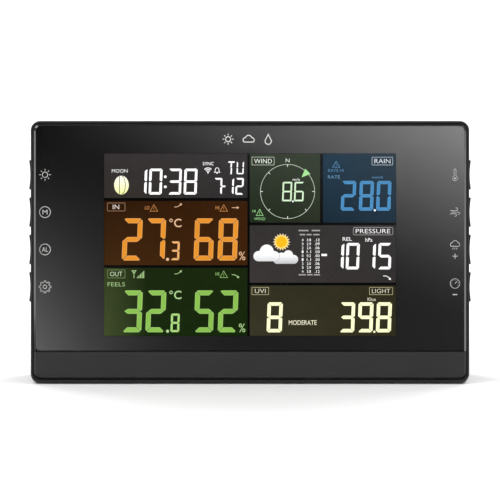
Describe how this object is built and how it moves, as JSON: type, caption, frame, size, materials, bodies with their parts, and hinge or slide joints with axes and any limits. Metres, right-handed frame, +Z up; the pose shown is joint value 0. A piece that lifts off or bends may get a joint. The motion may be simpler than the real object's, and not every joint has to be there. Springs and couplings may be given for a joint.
{
  "type": "home weather station",
  "caption": "Tabletop weather station console: glossy black front over a colour segment display, side keys, battery hatch and fold-out rear stand.",
  "frame": {"origin": "middle of the whole object's footprint, on the table under the base pads and the opened stand", "axes": "+Z up, +X to the right as a user sees the display, -Y towards the user; the face leans back 12 degrees from upright"},
  "size_m": [0.1942, 0.046, 0.113],
  "materials": {
    "case_black": "fine moulded texture, black ABS",
    "chin_black": "fine spark-eroded texture",
    "key_black": "fine satin texture",
    "lens_clear": "polished clear acrylic",
    "mask_black": "gloss black print with pale symbols",
    "tape_black": "foam adhesive tape",
    "lcd_glass": "polished glass with polariser",
    "colour_print": "printed colour fields",
    "guide_clear": "clear acrylic with dot pattern",
    "white_sheet": "diffuse white film",
    "holder_white": "plain moulded",
    "led_board": "white solder mask",
    "zebra_rubber": "silicone",
    "board_green": "solder mask",
    "chip_black": "epoxy",
    "shield_metal": "tinned sheet",
    "screw_steel": "black zinc",
    "wire_copper": "enamelled copper",
    "part_black": "moulded",
    "sensor_white": "moulded",
    "switch_grey": "moulded",
    "plunger_tan": "moulded",
    "cell_steel": "rolled steel can",
    "contact_plate": "nickel-plated spring steel",
    "pad_rubber": "matt rubber",
    "label_grey": "satin sticker, blank",
    "button_grey": "satin"
  },
  "bodies": {
    "case": {"front_bezel": "case_black", "front_lens": "lens_clear", "lens_mask": "mask_black", "panel_tape": "tape_black", "chin_panel": "chin_black", "lcd_front_glass": "lcd_glass", "lcd_rear_glass": "lcd_glass", "colour_film": "colour_print", "light_guide": "guide_clear", "reflector_sheet": "white_sheet", "led_strips": "led_board", "lcd_holder": "holder_white", "zebra_strip": "zebra_rubber", "main_board": "board_green", "board_screws": "screw_steel", "processor_chips": "chip_black", "wifi_module": "shield_metal", "radio_receiver": "shield_metal", "antenna_wire": "wire_copper", "buzzer": "part_black", "room_sensor": "sensor_white", "side_switches_left": "switch_grey", "side_switches_right": "switch_grey", "rear_switches": "switch_grey", "slide_switch": "switch_grey", "dc_jack": "part_black", "coin_cell": "cell_steel", "cell_contacts": "contact_plate", "rear_cover": "case_black", "case_screws": "screw_steel", "rating_label": "label_grey", "base_pads": "pad_rubber"},
    "brightness_key": {"key_brightness": "key_black", "plunger_brightness": "plunger_tan"},
    "memory_key": {"key_memory": "key_black", "plunger_memory": "plunger_tan"},
    "alarm_key": {"key_alarm": "key_black", "plunger_alarm": "plunger_tan"},
    "settings_key": {"key_settings": "key_black", "plunger_settings": "plunger_tan"},
    "temperature_key": {"key_temperature": "key_black", "plunger_temperature": "plunger_tan"},
    "wind_key": {"key_wind": "key_black", "plunger_wind": "plunger_tan"},
    "rain_plus_key": {"key_rain_plus": "key_black", "plunger_rain_plus": "plunger_tan"},
    "pressure_minus_key": {"key_pressure_minus": "key_black", "plunger_pressure_minus": "plunger_tan"},
    "sensor_button": {"sensor_button": "button_grey", "sensor_plunger": "plunger_tan"},
    "refresh_button": {"refresh_button": "button_grey", "refresh_plunger": "plunger_tan"},
    "dimmer": {"dimmer_knob": "button_grey"},
    "battery_door": {"battery_door": "case_black"},
    "stand": {"stand": "case_black", "stand_pad": "pad_rubber"}
  },
  "joints": [
    {"name": "brightness_press", "type": "slide", "parent": "case", "child": "brightness_key", "axis": [1, 0, 0], "range_m": [0, 0.0004], "stiffness_N_per_m": 900, "springref_m": -0.0003},
    {"name": "memory_press", "type": "slide", "parent": "case", "child": "memory_key", "axis": [1, 0, 0], "range_m": [0, 0.0004], "stiffness_N_per_m": 900, "springref_m": -0.0003},
    {"name": "alarm_press", "type": "slide", "parent": "case", "child": "alarm_key", "axis": [1, 0, 0], "range_m": [0, 0.0004], "stiffness_N_per_m": 900, "springref_m": -0.0003},
    {"name": "settings_press", "type": "slide", "parent": "case", "child": "settings_key", "axis": [1, 0, 0], "range_m": [0, 0.0004], "stiffness_N_per_m": 900, "springref_m": -0.0003},
    {"name": "temperature_press", "type": "slide", "parent": "case", "child": "temperature_key", "axis": [-1, 0, 0], "range_m": [0, 0.0004], "stiffness_N_per_m": 900, "springref_m": -0.0003},
    {"name": "wind_press", "type": "slide", "parent": "case", "child": "wind_key", "axis": [-1, 0, 0], "range_m": [0, 0.0004], "stiffness_N_per_m": 900, "springref_m": -0.0003},
    {"name": "rain_plus_press", "type": "slide", "parent": "case", "child": "rain_plus_key", "axis": [-1, 0, 0], "range_m": [0, 0.0004], "stiffness_N_per_m": 900, "springref_m": -0.0003},
    {"name": "pressure_minus_press", "type": "slide", "parent": "case", "child": "pressure_minus_key", "axis": [-1, 0, 0], "range_m": [0, 0.0004], "stiffness_N_per_m": 900, "springref_m": -0.0003},
    {"name": "sensor_press", "type": "slide", "parent": "case", "child": "sensor_button", "axis": [0, -0.9781, 0.2079], "range_m": [0, 0.0005], "stiffness_N_per_m": 900, "springref_m": -0.0003},
    {"name": "refresh_press", "type": "slide", "parent": "case", "child": "refresh_button", "axis": [0, -0.9781, 0.2079], "range_m": [0, 0.0005], "stiffness_N_per_m": 900, "springref_m": -0.0003},
    {"name": "dimmer_slide", "type": "slide", "parent": "case", "child": "dimmer", "axis": [1, 0, 0], "range_m": [-0.002, 0.002]},
    {"name": "battery_door_turn", "type": "hinge", "parent": "case", "child": "battery_door", "pos_m": [-0.058, 0.00462, 0.03145], "axis": [0, 0.9781, -0.2079], "range_deg": [0, 40]},
    {"name": "stand_fold", "type": "hinge", "parent": "case", "child": "stand", "pos_m": [0, 0.00895, 0.06529], "axis": [1, 0, 0], "range_deg": [-22.4, 0]}
  ]
}
